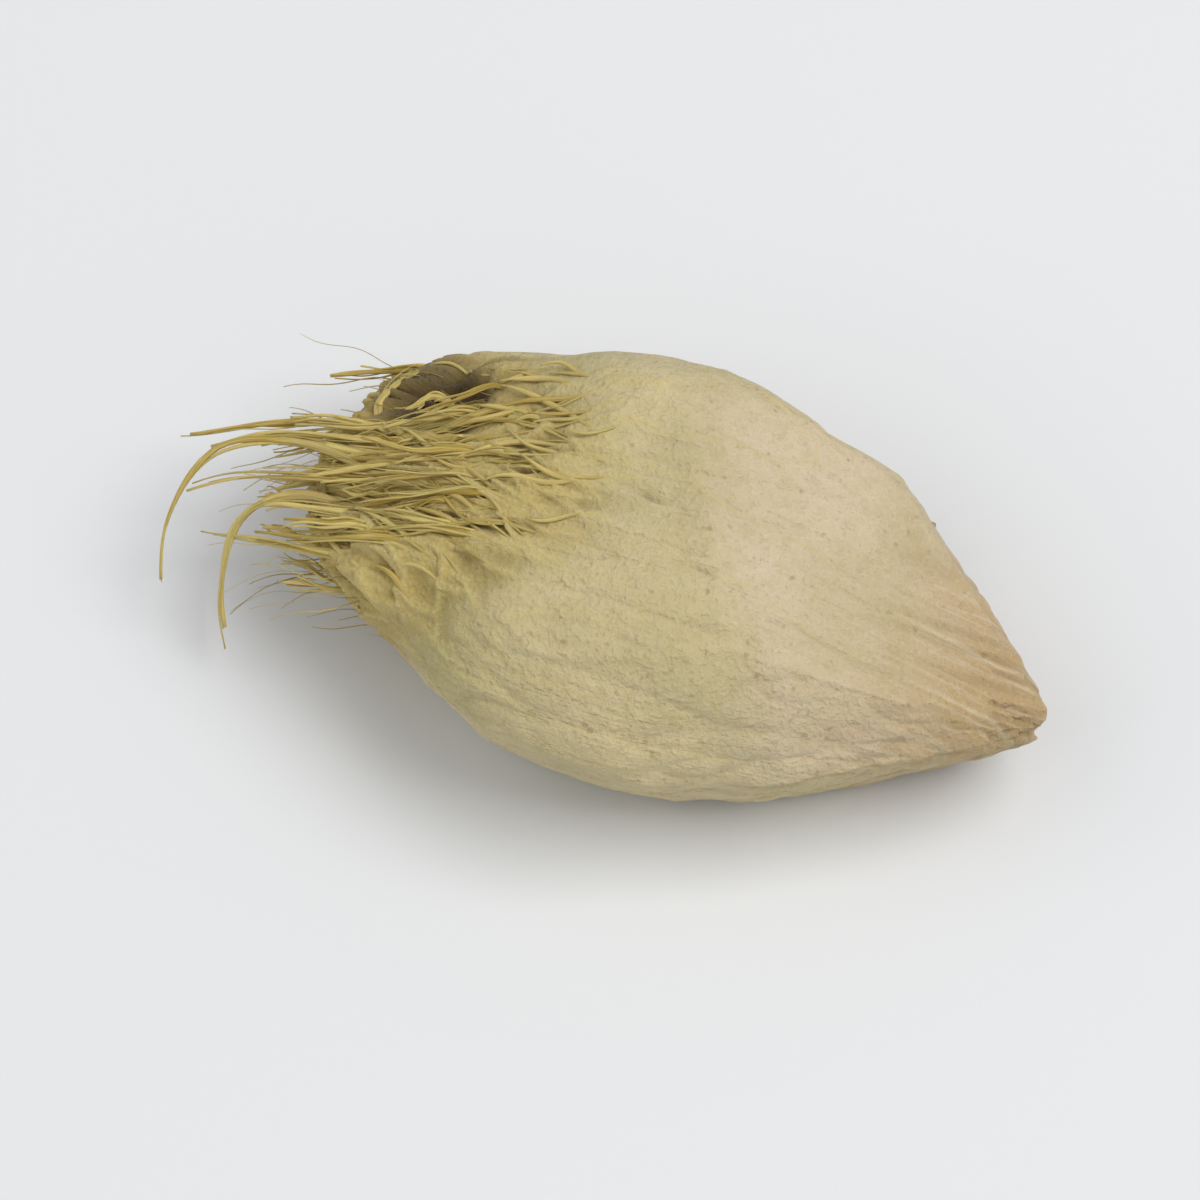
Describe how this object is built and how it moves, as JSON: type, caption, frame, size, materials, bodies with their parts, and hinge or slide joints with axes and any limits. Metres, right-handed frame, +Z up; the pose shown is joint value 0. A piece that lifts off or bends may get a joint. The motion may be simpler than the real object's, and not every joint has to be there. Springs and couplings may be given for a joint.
{
  "type": "dried ginger root piece",
  "caption": "Chopped piece of dried ginger root: a soft-edged pale flesh chunk with knife-cut faces, wrinkled rind on its far side and a frayed end of root fibres.",
  "frame": {"origin": "on the surface that the piece lies on, inside the flat spot of its underside, below the middle of its flesh", "axes": "+X along the piece from its frayed end to its pointed tip, +Y to the side that keeps its rind, +Z up"},
  "size_m": [0.0114, 0.0055, 0.0038],
  "materials": {
    "dried_ginger": "matte, powdery dried root flesh with straw-coloured fibres"
  },
  "bodies": {
    "root": {"ginger_root_piece": "dried_ginger"}
  },
  "joints": []
}
